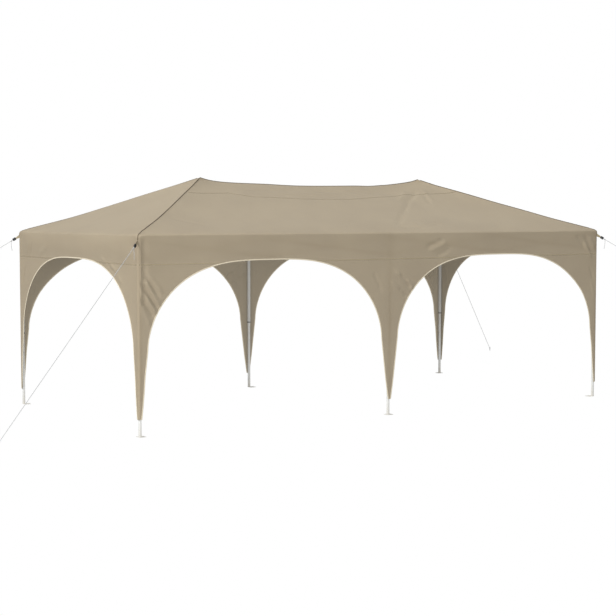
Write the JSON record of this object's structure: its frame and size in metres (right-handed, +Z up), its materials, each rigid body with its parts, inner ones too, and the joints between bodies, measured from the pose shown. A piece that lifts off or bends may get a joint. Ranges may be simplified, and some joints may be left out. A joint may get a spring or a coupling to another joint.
{
  "type": "pop-up party tent",
  "caption": "Rectangular pop-up party tent with a two-peak hip roof, arched side panels, telescoping legs and corner guy ropes.",
  "frame": {"origin": "on the ground under the middle of the tent", "axes": "+X along the tent's length, -Y towards its front, +Z up"},
  "size_m": [11.012, 7.0438, 2.555],
  "materials": {
    "canopy_cloth": "matt coated woven polyester",
    "frame_steel": "white powder coat",
    "bracket_plastic": "moulded, fine grain",
    "adjuster_plastic": "moulded, black",
    "rope": "braided grey polyester",
    "peg_steel": "zinc plated"
  },
  "bodies": {
    "tent": {"roof_front": "canopy_cloth", "roof_back": "canopy_cloth", "roof_left": "canopy_cloth", "roof_right": "canopy_cloth", "wall_front": "canopy_cloth", "wall_back": "canopy_cloth", "wall_left": "canopy_cloth", "wall_right": "canopy_cloth", "upper_leg_front_left": "frame_steel", "upper_leg_front_middle": "frame_steel", "upper_leg_front_right": "frame_steel", "upper_leg_back_left": "frame_steel", "upper_leg_back_middle": "frame_steel", "upper_leg_back_right": "frame_steel", "top_bracket_front_left": "bracket_plastic", "top_bracket_front_middle": "bracket_plastic", "top_bracket_front_right": "bracket_plastic", "top_bracket_back_left": "bracket_plastic", "top_bracket_back_middle": "bracket_plastic", "top_bracket_back_right": "bracket_plastic", "truss_front": "frame_steel", "truss_back": "frame_steel", "truss_left": "frame_steel", "truss_right": "frame_steel", "truss_middle": "frame_steel", "peak_frame_left": "frame_steel", "peak_frame_right": "frame_steel", "guy_adjuster_front_left": "adjuster_plastic", "guy_adjuster_front_right": "adjuster_plastic", "guy_adjuster_back_left": "adjuster_plastic", "guy_adjuster_back_right": "adjuster_plastic", "guy_rope_front_left": "rope", "guy_rope_front_right": "rope", "guy_rope_back_left": "rope", "guy_rope_back_right": "rope", "peg_front_left": "peg_steel", "peg_front_right": "peg_steel", "peg_back_left": "peg_steel", "peg_back_right": "peg_steel"},
    "inner_leg_front_left": {"lower_leg_front_left": "frame_steel"},
    "inner_leg_front_middle": {"lower_leg_front_middle": "frame_steel"},
    "inner_leg_front_right": {"lower_leg_front_right": "frame_steel"},
    "inner_leg_back_left": {"lower_leg_back_left": "frame_steel"},
    "inner_leg_back_middle": {"lower_leg_back_middle": "frame_steel"},
    "inner_leg_back_right": {"lower_leg_back_right": "frame_steel"}
  },
  "joints": [
    {"name": "leg_slide_front_left", "type": "slide", "parent": "tent", "child": "inner_leg_front_left", "axis": [0, 0, 1], "range_m": [0, 0.16]},
    {"name": "leg_slide_front_middle", "type": "slide", "parent": "tent", "child": "inner_leg_front_middle", "axis": [0, 0, 1], "range_m": [0, 0.16]},
    {"name": "leg_slide_front_right", "type": "slide", "parent": "tent", "child": "inner_leg_front_right", "axis": [0, 0, 1], "range_m": [0, 0.16]},
    {"name": "leg_slide_back_left", "type": "slide", "parent": "tent", "child": "inner_leg_back_left", "axis": [0, 0, 1], "range_m": [0, 0.16]},
    {"name": "leg_slide_back_middle", "type": "slide", "parent": "tent", "child": "inner_leg_back_middle", "axis": [0, 0, 1], "range_m": [0, 0.16]},
    {"name": "leg_slide_back_right", "type": "slide", "parent": "tent", "child": "inner_leg_back_right", "axis": [0, 0, 1], "range_m": [0, 0.16]}
  ]
}
